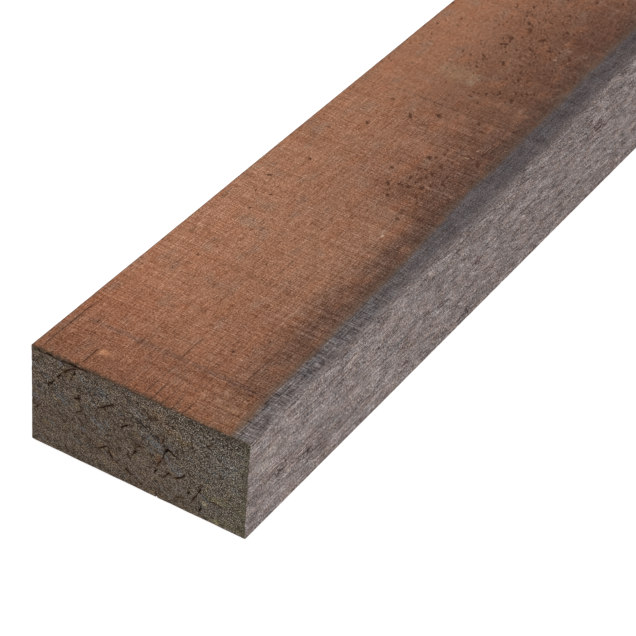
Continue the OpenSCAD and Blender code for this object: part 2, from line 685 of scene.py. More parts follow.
class Paint(Graph):
    """The node tree of one material."""

    def __init__(self, name):
        self.material = bpy.data.materials.new(name)
        self.material.use_nodes = True
        super().__init__(self.material.node_tree)
        self.seed = 0
        spot = self.node("SeparateXYZ", {0: self.node("TexCoord").outputs["Object"]}).outputs
        self.s = Field(self, spot[0]) / MM + LENGTH / 2
        self.t = WIDTH / 2 - Field(self, spot[1]) / MM
        self.v = HEIGHT - Field(self, spot[2]) / MM

    def point(self, a, b, c):
        return self.field("CombineXYZ", {0: a, 1: b, 2: c})

    def noise(self, a, b, c, detail=2, roughness=0.5):
        """Centred noise with a feature about every unit. Each call gives another pattern."""
        self.seed += 1
        place = self.point(a + 17.3 * self.seed, b + 5.1 * self.seed, c)
        inputs = {
            "Vector": place,
            "Scale": 1.0,
            "Detail": detail,
            "Roughness": roughness,
        }
        return self.field("TexNoise", inputs) - 0.5

    def grain(self, along, across, **settings):
        """Noise stretched along the beam: features this long and this wide, in millimetres."""
        return self.noise(
            self.s / along, self.t / across, self.v / across, **settings
        )

    def clumps(self, along, across, low, high, **settings):
        """0 to 1 in clumps this long and this wide, where their noise rises past low and high."""
        return self.rise(self.grain(along, across, **settings), low, high)

    def turned(self, x, y, degrees):
        """The two lengths x and y as they are on axes turned by this angle."""
        cosine, sine = math.cos(math.radians(degrees)), math.sin(math.radians(degrees))
        return x * cosine + y * sine, y * cosine - x * sine

    def lane(self, x, stops, blend="LINEAR"):
        """A colour that changes along the beam: stops are (distance, colour)."""
        made = self.node("ValToRGB", {0: x / LENGTH})
        ramp = made.color_ramp
        ramp.interpolation = blend
        while len(ramp.elements) > 1:
            ramp.elements.remove(ramp.elements[-1])
        for k, (place, colour) in enumerate(stops):
            stop = ramp.elements.new(place / LENGTH) if k else ramp.elements[0]
            stop.position = place / LENGTH
            stop.color = shade(colour)
        return Field(self, made.outputs[0])

    def drift(self, x, stops):
        """A number up to WIDTH that changes along the beam: stops are (distance, number)."""
        return self.lane(x, [(at, [LEVELS * n / WIDTH] * 3) for at, n in stops], "EASE") * WIDTH

    def mix(self, share, first, second):
        """first where share is 0, second where it is 1."""
        made = self.node("Mix", data_type="RGBA", clamp_factor=True)
        self.feed(made.inputs[0], share)
        for socket, colour in ((made.inputs[6], first), (made.inputs[7], second)):
            self.feed(socket, colour if isinstance(colour, Field) else shade(colour))
        return Field(self, made.outputs[2])

    def brighten(self, colour, levels):
        """The colour with every channel moved by this many levels of 255."""
        inputs = {0: colour, 1: levels / LEVELS}
        return self.field("VectorMath", inputs, operation="ADD")

    def cells(self, a, b, shift, **settings):
        """A node of uneven cells a unit wide. Each call gives another pattern."""
        self.seed += 1
        place = self.point(a + shift * self.seed, b, 0.0)
        inputs = {"Vector": place, "Scale": 1.0, "Randomness": 1.0}
        return self.node("TexVoronoi", inputs, voronoi_dimensions="2D", **settings)

    def specks(self, a, b, cell, radius, share, wobble=0.0):
        """Small marks, one to a cell at most, where a cell's own number is under share."""
        made = self.cells((a + wobble) / cell, (b + wobble) / cell, 9.7)
        away, own = Field(self, made.outputs["Distance"]), Field(self, made.outputs["Color"])
        parts = self.node("SeparateColor", {0: own})
        lot, size = (Field(self, parts.outputs[k]) for k in (0, 1))
        reach = (size * 0.7 + 0.3) * (radius / cell)
        inside = 1 - self.rise(away / reach, 0.6, 1.15)
        return inside * self.maths("LESS_THAN", lot, share)

    def crackle(self, a, b, cell, half):
        """Thin lines along the edges of uneven cells, 1 at a line's middle."""
        made = self.cells(a / cell, b / cell, 7.1, feature="DISTANCE_TO_EDGE")
        edge = Field(self, made.outputs["Distance"])
        return 1 - self.rise(edge, 0.2 * half / cell, half / cell)

    def grouped(self, build, *values):
        """The output of the node group that build makes, with these values at its inputs."""
        return self.field("Group", dict(enumerate(values)), node_tree=node_group(build))

    def spot(self, a, b, x, y, wide, high, rag=0.0, tilt=0.0, share=1.0):
        """A soft patch, share at its middle (x, y) and 0 past its half sizes wide and high."""
        turn = math.radians(tilt)
        values = (x, y, wide, high, math.cos(turn), math.sin(turn), rag, share)
        return self.grouped(spot_shape, a, b, *values)

    def patches(self, colour, a, b, marks, rag, tilt=0.0):
        """Paints marks on a colour: each is its middle's two places, half sizes, share, colour."""
        for *place, share, paint in marks:
            colour = self.mix(self.spot(a, b, *place, rag, tilt, share), colour, paint)
        return colour

    def largest(self, fields):
        """The largest of several values at each place."""
        return functools.reduce(lambda one, other: self.maths("MAXIMUM", one, other), fields)

    def attribute(self, name):
        return self.field("Attribute", {}, "Fac", attribute_name=name)

    def finish(self, colour, roughness, height, depth):
        """The shader, from a colour as it looks, a roughness and a relief that deep in mm."""
        floored = self.field("VectorMath", {0: colour, 1: (DARKEST,) * 3}, operation="MAXIMUM")
        light = self.field("Gamma", {0: floored, 1: SCREEN_GAMMA})
        bump = self.field("Bump", {"Strength": 1.0, "Distance": depth * MM, "Height": height})
        inputs = {"Base Color": light, "Roughness": roughness, "Normal": bump}
        shader = self.node("BsdfPrincipled", inputs)
        shader.inputs["Specular IOR Level"].default_value = SPECULAR
        self.node("OutputMaterial", {0: shader.outputs[0]})
        return self.material


# Colours of the sawn face in lanes along the beam, each at its distance across from the +Y arris
TAN_LANES = (
    (
        20,
        (0, (124, 81, 57)), (30, (139, 90, 65)), (60, (153, 100, 73)), (100, (159, 108, 80)),
        (180, (160, 111, 84)), (260, (154, 107, 80)), (480, (150, 103, 77)),
        (700, (155, 107, 80)), (1000, (149, 101, 75)), (1300, (157, 109, 82)),
        (1700, (151, 103, 77)), (1960, (139, 92, 67)), (2000, (127, 85, 61)),
    ),
    (
        70,
        (0, (125, 81, 58)), (20, (133, 87, 64)), (60, (147, 99, 73)), (180, (151, 105, 79)),
        (260, (139, 96, 73)), (340, (131, 90, 68)), (420, (121, 83, 63)), (700, (133, 90, 68)),
        (1000, (139, 95, 71)), (1300, (145, 100, 75)), (1700, (137, 94, 70)),
        (2000, (125, 83, 59)),
    ),
    (
        100,
        (0, (127, 84, 61)), (20, (134, 89, 65)), (60, (135, 90, 67)), (160, (144, 102, 78)),
        (225, (141, 100, 77)), (255, (120, 82, 62)), (300, (111, 75, 57)), (400, (110, 75, 57)),
        (500, (102, 68, 52)), (700, (121, 83, 63)), (1300, (137, 94, 71)), (1700, (127, 88, 67)),
        (2000, (125, 85, 62)),
    ),
    (
        126,
        (0, (124, 84, 60)), (60, (106, 73, 56)), (140, (96, 68, 54)), (280, (84, 58, 46)),
        (500, (83, 58, 48)), (800, (103, 75, 61)), (1200, (109, 79, 63)), (1700, (105, 77, 63)),
        (2000, (119, 85, 65)),
    ),
)
# How far across the brown gives way to grey, and the dark grey band to the side's light grey
GREY_FROM = (
    (0, 138), (60, 135.5), (170, 133), (300, 127), (375, 125.5), (500, 121.5), (1000, 128),
    (2000, 136),
)
PALE_FROM = (
    (0, 151), (70, 148), (130, 146.5), (230, 145), (340, 143), (400, 141), (500, 138),
    (1000, 144), (2000, 150),
)
# Colours of the dark grey band along the beam
BAND_LANE = (
    (0, (100, 91, 88)), (60, (96, 87, 86)), (150, (90, 82, 81)), (300, (81, 73, 74)),
    (420, (80, 71, 71)), (520, (79, 69, 69)), (1000, (96, 88, 87)), (2000, (106, 97, 95)),
)
TAN_COOL = (128, 104, 90)
TAN_WARM = (166, 101, 66)
# Colour of the painted highlights on the top's fibres near the near end
HIGHLIGHT_TAN = (192, 128, 90)
GLINT_TAN = (192, 158, 132)
SPLIT_BROWN = (74, 46, 34)
DASH_BROWN = (86, 56, 42)
SMEAR_BROWN = (86, 58, 44)
LINE_BROWN = (56, 34, 24)
WISP_GREY = (166, 157, 152)
ARRIS_GREY = (104, 90, 80)
BAND_OLIVE = (92, 78, 66)
BAND_ROSE = (100, 84, 76)
BAND_SLATE = (94, 94, 101)
# Marks on the top: middle along and across, half length and width, share, colour
TOP_MARKS = (
    (39.5, 50, 3.8, 85, 0.5, (112, 81, 68)), (39.5, 112, 4.5, 40, 0.4, (104, 78, 68)),
    (85.5, 62, 2.2, 70, 0.35, (124, 88, 68)), (130, 70, 1.8, 70, 0.3, (124, 90, 70)),
    (313, 50, 11, 80, 0.3, (166, 118, 92)), (365.5, 62, 2.4, 62, 0.5, (112, 76, 58)),
    (507, 60, 2.6, 50, 0.4, (112, 78, 60)), (177, 33, 9, 12, 0.4, (132, 112, 96)),
    (197, 33, 8, 8, 0.35, (132, 112, 96)), (244, 103, 11, 2.4, 0.5, (102, 70, 54)),
    (271, 93, 17, 15, 0.25, (98, 68, 54)), (290, 112, 40, 16, 0.35, (94, 64, 54)),
    (18.3, 38.5, 3.4, 6.5, 0.85, (200, 144, 108)), (18, 123, 1.6, 11, 0.6, (172, 128, 98)),
    (9, 127, 1.2, 8, 0.4, (168, 124, 96)), (212.5, 106.8, 2.2, 1.1, 0.9, (206, 180, 160)),
    (216.5, 105, 4.5, 1.3, 0.7, (186, 156, 136)), (406, 52, 17, 15, 0.45, (150, 124, 96)),
    (402, 63.5, 6, 4.5, 0.5, (160, 142, 120)), (410, 61.5, 5, 4, 0.5, (158, 138, 114)),
    (408, 40, 7, 6, 0.4, (160, 134, 108)), (480, 98, 6, 3, 0.45, (164, 136, 116)),
    (391, 108, 4, 3, 0.4, (160, 132, 114)),
)
PIT_BROWN = (78, 43, 25)
# Single pits in the top: middle along and across, half length and width
TOP_PITS = (
    (227, 15.5, 1.3, 3.4), (209, 28, 1.3, 2.2), (258, 26, 2.2, 1.6), (281.7, 73, 2.4, 2.0),
    (264, 80.5, 3.6, 2.0), (268.3, 86.5, 2.2, 2.6), (269, 92, 2.6, 3.6), (257.5, 83.5, 2.2, 1.8),
    (262, 101.7, 2.0, 1.6), (284, 109, 3.0, 1.6), (317.5, 33, 3.2, 2.0), (341, 52, 4.6, 2.0),
    (352.5, 67, 3.6, 2.6), (306, 87, 2.4, 2.4), (318.5, 115, 6.0, 2.0), (459, 57, 2.2, 4.6),
    (437.5, 69, 5.0, 1.7), (465, 59.5, 2.6, 1.3), (486.7, 63.5, 5.0, 2.2), (481, 77.5, 4.0, 2.4),
    (398, 96.7, 4.5, 2.2), (360, 93, 3.6, 1.8), (272, 100, 2.4, 1.6), (275.6, 93.8, 1.9, 1.5),
    (279, 103, 2.0, 1.4), (281.9, 93.8, 2.2, 1.6), (285, 96.3, 2.6, 1.7), (287, 107.3, 1.8, 1.3),
    (290.2, 97.9, 3.4, 1.4), (292.3, 91.7, 1.9, 1.4), (293.3, 106.7, 2.2, 1.3),
    (302.7, 106.3, 1.9, 1.3), (304.8, 87.5, 1.9, 1.6), (315, 92.7, 2.2, 1.3),
    (320.4, 91.7, 2.0, 1.3), (412, 101, 3.4, 1.5), (424, 88, 3.0, 1.5), (447, 84, 3.0, 1.4),
    (470, 88, 3.2, 1.6), (500, 86, 3.4, 1.6),
)
# Thin dark lines along the top: distance across, from s, to s, half width, darkness
TOP_LINES = (
    (6.2, 2, 54, 0.5, 0.6), (6.6, 46, 86, 0.45, 0.25), (33.2, 4, 24, 0.5, 0.55),
    (33.6, 24, 48, 0.45, 0.2), (75.9, 36, 64, 0.5, 0.45), (77.2, -4, 36, 0.5, 0.6),
    (76.8, 102, 184, 0.45, 0.22), (83.2, -4, 22, 0.55, 0.7), (90.5, -4, 18, 0.5, 0.65),
    (97.0, -4, 15, 0.55, 0.7), (104.5, -4, 18, 0.5, 0.6), (117.4, 30, 82, 0.5, 0.5),
    (21.8, 94, 134, 0.4, 0.2), (69.5, -4, 13, 0.5, 0.35), (61.0, -4, 15, 0.45, 0.35),
)
SIDE_GREY = (119, 107, 104)
SIDE_UMBER = (98, 78, 72)
SIDE_PALE = (150, 140, 134)
SIDE_ROSE = (127, 107, 99)
SIDE_SLATE = (110, 107, 108)
SIDE_STRAW = (136, 124, 104)
# Marks on the -Y side: middle along and down, half length and height, share, colour
SIDE_MARKS = (
    (22, 19, 20, 8, 0.3, (152, 142, 130)), (12, 24, 9, 5, 0.35, (156, 146, 136)),
    (64, 46, 15, 5, 0.6, (98, 78, 72)), (64, 48, 5.5, 1.7, 0.95, (50, 32, 28)),
    (48, 46, 5, 1.4, 0.6, (84, 66, 62)), (74, 45, 5, 1.5, 0.6, (90, 70, 66)),
    (57, 43.5, 4, 1.3, 0.6, (70, 52, 48)), (32, 41.5, 4.5, 1.6, 0.8, (70, 52, 50)),
    (40.5, 40, 4, 1.2, 0.7, (82, 62, 58)), (34, 38, 13, 5, 0.4, (102, 84, 78)),
    (139.5, 20.5, 5, 2.2, 0.85, (76, 60, 58)), (118, 17, 14, 3, 0.65, (96, 76, 70)),
    (150, 18, 5, 1.4, 0.6, (84, 68, 64)), (124, 51, 6, 3.2, 0.8, (86, 66, 62)),
    (176.5, 56, 6, 3.2, 0.8, (86, 68, 66)), (135, 38, 6, 1.8, 0.6, (104, 80, 74)),
    (173.5, 36, 7, 1.6, 0.55, (96, 76, 66)), (215, 34.5, 7, 2.0, 0.8, (88, 68, 66)),
    (262, 28, 12, 3.6, 0.75, (86, 66, 62)), (250, 63, 7, 3.2, 0.8, (82, 66, 66)),
    (424, 14, 16, 5, 0.75, (92, 70, 66)), (248, 17, 8, 2.2, 0.6, (94, 76, 70)),
    (315, 36, 6, 2.4, 0.75, (84, 68, 62)), (341, 41, 6, 2.4, 0.75, (84, 68, 62)),
    (364, 50, 9, 2.2, 0.6, (92, 78, 74)), (404, 47, 5, 2.4, 0.75, (82, 68, 60)),
    (427, 44, 7, 2.2, 0.65, (92, 74, 70)), (472, 44, 5, 2.4, 0.7, (90, 78, 68)),
    (473, 53, 5, 2.6, 0.7, (86, 74, 68)), (489, 48, 6, 2.6, 0.65, (90, 76, 70)),
    (380, 40, 9, 2.6, 0.75, (80, 68, 64)), (71, 2.2, 1.6, 1.3, 1.0, (40, 32, 32)),
    (2.6, 1.4, 3.2, 0.9, 0.9, (44, 34, 30)), (6.5, 3.4, 2.6, 0.9, 0.8, (50, 40, 36)),
)
BACK_BROWN = (124, 106, 96)
END_BROWN = (89, 75, 62)
END_GREY = (87, 78, 67)
END_BLUE = (86, 89, 94)
END_OCHRE = (108, 88, 60)
END_PLUM = (92, 76, 72)
END_RIM = (76, 74, 56)
# Marks on the near end, END_BANDS tilted: middle across and down, half sizes, share, colour
END_BANDS = (
    (76, 15, 15, 5, 0.5, (98, 94, 94)), (87, 31, 13, 5, 0.75, (103, 104, 107)),
    (101, 42, 10, 5, 0.5, (102, 102, 106)), (47, 35.5, 9, 3.6, 0.6, (102, 102, 106)),
    (23, 29, 10, 5, 0.55, (80, 82, 86)), (6, 28, 7, 4, 0.4, (88, 88, 95)),
    (50, 13, 7, 6, 0.6, (86, 90, 96)), (104, 56, 9, 5, 0.3, (100, 101, 103)),
    (137, 26, 20, 12, 0.3, (100, 97, 96)), (74, 19.3, 9, 1.7, 0.9, (54, 47, 43)),
    (85, 25, 10, 1.8, 0.9, (52, 43, 38)), (93, 29.5, 6, 2.2, 0.9, (46, 36, 28)),
    (42, 13, 6, 3, 0.7, (60, 53, 47)), (22, 37, 12, 2.0, 0.3, (72, 64, 60)),
)
END_MARKS = (
    (40, 11, 5, 5, 0.6, (62, 54, 50)), (106, 21, 6, 4.5, 0.6, (108, 89, 52)),
    (88, 11, 9, 7, 0.6, (102, 75, 44)), (98, 16, 7, 6, 0.5, (98, 73, 44)),
    (89.8, 41, 3.0, 3.4, 0.7, (108, 72, 48)), (76.5, 38, 4.5, 2.2, 0.6, (108, 78, 56)),
    (58.5, 58.5, 3.5, 2.6, 0.6, (112, 84, 58)), (50, 51, 5, 3, 0.45, (108, 82, 54)),
    (39, 48, 3, 2.6, 0.5, (106, 82, 60)), (8, 43, 9, 8, 0.5, (94, 72, 68)),
    (24, 10, 6, 5, 0.5, (104, 82, 52)), (132, 51, 14, 3.0, 0.45, (112, 104, 66)),
    (129, 53, 6, 1.8, 0.7, (146, 136, 104)), (121.5, 58, 2.6, 2.4, 0.8, (148, 134, 104)),
    (129, 67.5, 4, 1.6, 0.8, (140, 132, 96)), (140, 66.5, 12, 3.0, 0.45, (106, 100, 60)),
    (144, 54, 8, 18, 0.3, (92, 86, 62)), (128, 2, 38, 8, 0.75, (62, 51, 38)),
    (110, 6, 20, 8, 0.6, (74, 62, 48)), (142, 8, 12, 8, 0.5, (62, 54, 42)),
    (112, 53, 9, 5, 0.35, (108, 100, 88)), (74, 54, 22, 9, 0.35, (98, 81, 73)),
    (65, 44, 9, 6, 0.35, (88, 74, 68)), (45, 61, 30, 6, 0.35, (100, 85, 71)),
    (17, 59, 20, 9, 0.4, (104, 91, 80)), (108, 62, 12, 7, 0.4, (106, 93, 80)),
    # The last mark is painted shade along the end's bottom edge, next to the floor.
    (11, 15, 10, 8, 0.35, (102, 92, 84)), (30, 66, 36, 7, 0.28, (64, 53, 42)),
)
# Moves a face's marks this many times its size away, where the face should have none
ELSEWHERE = 9
# How far the noise of the two ends lies apart
ENDS_APART = 40
# How far the side's fibres, the top's pits, the end's growth rings and its tilted marks turn
FIBRE_TILT = 12
PIT_TILT = -28
RING_TILT = 28
END_TILT = 24
FLECK_STRAW = (142, 134, 102)
WEB_BROWN = (54, 36, 20)
# Colour of the painted shade inside the cracks
CRACK_SHADE = (50, 30, 15)
STAIN_BROWN = (73, 47, 25)
# Colour of the painted shade along the edges of the ends
EDGE_SHADE = (64, 51, 38)


def weathered(g):
    """(colour, levels to add to it, height) of the grey fibres that weather has raised."""
    slanted = g.rise(g.s, 90, 300)
    unfolded = g.v + g.t - WIDTH
    bend = g.grain(38, 14, detail=1) * 5
    along, down = g.turned(g.s, unfolded, FIBRE_TILT)
    down = down + bend
    strokes = g.noise(along / 10, down / 1.25, 0)
    bold = g.noise(along / 10, down / 2.2, 0)
    lines = g.grain(15, 0.85, detail=1.5)
    combs = g.noise(along / 2.2, down / 3.2, 0, detail=1.5)
    fuzz = g.grain(1.2, 0.9, detail=1.5)
    clouds = g.grain(13, 7)
    drifts = g.grain(45, 14, detail=1)
    clumps = g.clumps(16, 9, -0.15, 0.2, detail=1)
    umber = g.clumps(11, 2.6, 0.13, 0.24, detail=3)
    pale = g.rise(g.noise(g.s / 9, g.v / 6, g.t / 6, detail=1), 0.12, 0.28)
    rose = g.clumps(16, 6, -0.04, 0.16, detail=5, roughness=0.65)
    slate = g.clumps(12, 6, -0.02, 0.16, detail=5, roughness=0.65)
    straw = g.clumps(5, 2.5, 0.1, 0.26, detail=3)
    fibres = strokes * (slanted * 65 + 50) + bold * clumps * slanted * 60
    fibres = fibres + lines * (135 - slanted * 60)
    tone = fibres + combs * (60 - slanted * 20) + fuzz * (242 + slanted * 10)
    tone = tone * (clumps * 0.25 + 0.87) + clouds * 70
    tone = tone + drifts * (40 - slanted * 20) + (4 - slanted * 7)
    colour = g.mix(rose * 0.6, SIDE_GREY, SIDE_ROSE)
    colour = g.mix(slate * 0.55, colour, SIDE_SLATE)
    colour = g.mix(straw * 0.35, colour, SIDE_STRAW)
    colour = g.mix(umber * 0.65, colour, SIDE_UMBER)
    colour = g.mix(pale * 0.3, colour, SIDE_PALE)
    return colour, tone, strokes * 0.5 + lines * 0.5 + fuzz * 0.3


def saw_noises(g):
    """The fibres, saw strokes and dust that every part of the sawn faces is worked out from."""

    def across(thick, wide, detail=2):
        """Noise in lines across the face, this thick and this long."""
        return g.noise(g.s / thick, g.t / wide, g.v / wide, detail=detail)

    return SimpleNamespace(
        fibres=g.grain(10, 0.62),
        threads=g.grain(70, 0.8),
        streaks=g.grain(60, 3.5),
        scratches=across(0.7, 5.5),
        rulings=across(1, 130),
        sweeps=across(8, 160, 3),
        fuzz=g.grain(1, 0.9, detail=1.5),
        clots=g.grain(3.5, 2.5),
    )


def tan_wood(g, s, t, blotch, n):
    """(colour, levels to add to it, dark dashes) of the tan hardwood."""
    colour = g.lane(s, TAN_LANES[0][1:])
    for (before, *_), (after, *stops) in zip(TAN_LANES, TAN_LANES[1:]):
        colour = g.mix(g.rise(t, before, after), colour, g.lane(s, stops))
    worn = g.clumps(45, 30, -0.12, 0.12)
    close = 1 - g.rise(s, 100, 230)
    distant = g.rise(s, 320, 430) * (1 - g.rise(s, 560, 720))
    mottle = g.noise((s - t) / 3.4, (t + s * 0.5) / 1.9, g.v)
    lengthwise = (n.fibres * 84 + n.threads * 40) * (1 + close * 0.1 - distant * 0.55)
    crosswise = (n.scratches * (worn * 46 + 66) + n.rulings * 74) * (1 - distant * 0.7)
    tone = lengthwise + crosswise + n.fuzz * (158 - distant * 105) + mottle * (distant * 72)
    tone = tone + n.streaks * 8 + n.sweeps * (distant * 12 + 15) + blotch * 19
    dashes = g.clumps(7, 0.8, 0.17, 0.3, detail=1)
    cool = g.clumps(20, 12, 0.02, 0.2, detail=4)
    warm = g.clumps(20, 10, -0.02, 0.2, detail=5)
    colour = g.mix(cool * 0.36, colour, TAN_COOL)
    colour = g.mix(warm * 0.27, colour, TAN_WARM)
    return colour, tone, dashes


def pits_and_smears(g, s, t, n):
    """(pits, smears, pale glints, uneven bits) that gather in two regions of the top."""
    near = g.spot(s, t, 280, 100, 58, 44) * 0.9 + g.spot(s, t, 460, 84, 135, 60) * 0.9
    rest = g.clumps(160, 60, 0, 0.2, detail=1) * g.rise(s, 240, 420)
    region = near + rest * 0.4
    run, rung = (s - t * 0.6) * 0.86 + n.clots * 5, (t + s * 0.6) * 0.86 + n.clots * 2.5
    bits = g.noise(run / 3.6, rung / 1.5, g.v, detail=3)
    pits = g.rise(bits + region * 0.12, 0.2, 0.3)
    small = g.specks(run * 0.6, rung, 2.9, 0.95, region * 0.36 + 0.012)
    large = g.specks(run * 0.55, rung, 6.5, 1.6, region * 0.4)
    holes = g.largest((pits * 0.8, small, large)) * (n.clots * 2.4 + 1)
    smears = g.clumps(9, 3, 0.16, 0.3, detail=3) * g.rise(s, 220, 420)
    glints = g.specks(s, t, 11, 1, g.rise(s, 200, 400) * 0.3, n.clots * 4)
    return holes, smears, glints, bits


def marked_tan(g, s, t, top, blotch, n):
    """(colour, pits, dark dashes) of the tan wood with its marks, splits, pits, smears and painted
    highlights.
    """
    colour, tone, dashes = tan_wood(g, s, t, blotch, n)
    holes, smears, glints, bits = pits_and_smears(g, s, t, n)
    frayed = n.fibres + n.scratches + n.fuzz * 1.2 + n.clots * 1.4
    colour = g.patches(colour, g.s, g.t + (1 - top) * ELSEWHERE * WIDTH, TOP_MARKS, frayed)
    colour = g.brighten(colour, tone)
    # Painted highlights: short bright orange glints across the fibres near the near end
    highlight_region = g.spot(s, t, 0, 95, 150, 75)
    painted_highlights = g.rise(g.noise(g.s / 0.8, g.t / 5, g.v), 0.06, 0.2) * highlight_region
    splits = g.clumps(13, 0.7, 0.12, 0.22, detail=1) * g.spot(s, t, 0, 90, 60, 80)
    colour = g.mix(painted_highlights * 0.45, colour, HIGHLIGHT_TAN)
    colour = g.mix(splits * 0.45, colour, SPLIT_BROWN)
    colour = g.mix(dashes * 0.35, colour, DASH_BROWN)
    colour = g.mix(smears * 0.4, colour, SMEAR_BROWN)
    colour = g.mix(holes * 0.72, colour, PIT_BROWN)
    slant = n.clots * 1.6 + bits * 1.4 + n.fuzz
    pitted = g.largest(g.spot(g.s, g.t, *pit, slant, PIT_TILT) for pit in TOP_PITS) * top
    colour = g.mix(pitted, colour, PIT_BROWN)
    colour = g.mix(glints * 0.6, colour, GLINT_TAN)
    return colour, holes, dashes


def grey_band(g, s, colour, n):
    """The colour with a dark grey band beside the -Y arris, and the side's light grey past it."""
    edge = g.drift(s, GREY_FROM)
    pale = g.drift(s, PALE_FROM)
    ragged = g.t + g.grain(25, 5, detail=3) * 5 + n.fuzz * 6
    combed = 1 - g.rise(s, 60, 260) * 0.7
    ridges = g.grain(16, 0.85)
    hatched = (n.scratches * 180 + n.rulings * 96 + ridges * 170) * combed + n.threads * 40
    band_tone = hatched + n.fuzz * 150 + n.sweeps * 30 + n.clots * 24
    cold = g.clumps(18, 6, 0, 0.18, detail=4)
    rusty = g.clumps(12, 2.2, 0, 0.2, detail=4)
    band_colour = g.mix(cold * 0.4, g.lane(s, BAND_LANE), BAND_SLATE)
    band_colour = g.mix(rusty * 0.3, band_colour, BAND_ROSE)
    shadows = g.grain(14, 6)
    band_tone = band_tone + shadows * (76 - g.rise(s, 60, 260) * 46)
    olive = g.rise(ragged - edge, -5.5, -1)
    colour = g.mix(olive * 0.45, colour, BAND_OLIVE)
    colour = g.mix(g.rise(ragged - edge, -2.5, 2.5), colour, g.brighten(band_colour, band_tone))
    wisps = g.rise(g.grain(16, 1.4, detail=3) + g.rise(ragged - pale, -6, 2) * 0.1, 0.14, 0.26)
    side_colour, side_tone, _ = weathered(g)
    light = g.mix(wisps * 0.5, g.brighten(side_colour, side_tone), WISP_GREY)
    return g.mix(g.rise(ragged - pale, -6.5, 3.5), colour, light)


def worn_and_shaded_edges(g, s, t, top, colour, n):
    """The colour with a greyed +Y arris, painted shade at the ends, thin dark lines and painted
    shade in long cracks.
    """
    arris = 1 - g.rise(g.t + n.fuzz * 3, 0.4, 1.6)
    colour = g.mix(arris * 0.5, colour, ARRIS_GREY)
    drop = g.maths("MINIMUM", g.s, LENGTH - g.s)
    # Painted shade on the top and underside along the edges of the ends
    end_edge_shade = 1 - g.rise(drop + n.clots * 7 + n.fuzz * 5, 0.2, 2.8)
    colour = g.mix(end_edge_shade * (0.65 - g.rise(t, 60, 130) * 0.35), colour, EDGE_SHADE)
    bent = g.t + g.grain(30, 60, detail=1) * 1.5 + n.clots * 0.8
    broken = g.grain(9, 60) * 2 + n.clots * 2
    for place, start, end, half, dark in TOP_LINES:
        held = top * (broken + dark)
        line = g.grouped(line_shape, g.s, bent, place, start, end, half, held)
        colour = g.mix(line, colour, LINE_BROWN)
    # Painted shade inside the long cracks
    return g.mix(g.attribute("crack") * (n.clots * 3 + 1), colour, CRACK_SHADE)


def sawn_face():
    """Top and underside: tan hardwood with saw strokes, darkening to grey at the -Y arris."""
    g = Paint("sawn_face")
    top = g.maths("LESS_THAN", g.v, HEIGHT / 2)
    s = g.s + (1 - top) * (LENGTH - 2 * g.s)
    blotch = g.grain(40, 18)
    t = g.t + blotch * 16
    n = saw_noises(g)
    colour, holes, dashes = marked_tan(g, s, t, top, blotch, n)
    colour = grey_band(g, s, colour, n)
    colour = worn_and_shaded_edges(g, s, t, top, colour, n)
    height = n.fibres * 0.5 + n.scratches * 0.4 + n.fuzz * 0.3 - holes * 0.5 - dashes * 0.3
    return g.finish(colour, SAWN_ROUGHNESS + n.fuzz * 0.3, height, SAWN_RELIEF)


def weathered_side():
    """The two sides: weathered grey, the +Y side a little browner."""
    g = Paint("weathered_side")
    colour, tone, height = weathered(g)
    back = 1 - g.rise(g.t, 10, 30)
    colour = g.mix(back * 0.35, colour, BACK_BROWN)
    rag = tone * 0.012 + g.grain(7, 1.8, detail=3) * 1.2
    painted = g.patches(colour, g.s, g.v + back * HEIGHT * ELSEWHERE, SIDE_MARKS, rag, 6)
    painted = g.brighten(painted, tone)
    # Painted shade inside the long cracks
    colour = g.mix(g.attribute("crack") * 1.2, painted, CRACK_SHADE)
    return g.finish(colour, DRY_ROUGHNESS, height, DRY_RELIEF)


def cut_noises(g):
    """The noise patterns of the sawn ends, and the function that makes more of them."""
    a, b = g.turned(g.t, g.v, RING_TILT)
    s = g.s / LENGTH * ENDS_APART

    def cut(wide, high, detail=2):
        """Noise over the cut with features this wide and this high."""
        return g.noise(g.t / wide, g.v / high, s, detail=detail)

    def grown(wide, high, detail=2):
        """The same, with features that lie along the tilted growth rings."""
        return g.noise(a / wide, b / high, s, detail=detail)

    return SimpleNamespace(
        grit=cut(0.6, 0.6, 1),
        pores=cut(0.9, 0.9, 1.5),
        clots=cut(2.3, 2.3, 1.5),
        hatch=grown(4, 0.9),
        weave=grown(0.7, 3),
        rings=grown(14, 2),
        cloud=cut(9, 9),
        blue=g.rise(grown(9, 4, 4), 0.05, 0.2),
        plum=g.rise(cut(7, 6, 4), 0.05, 0.2),
        ochre=g.rise(cut(7, 5, 4), 0.05, 0.22),
        cut=cut,
    )


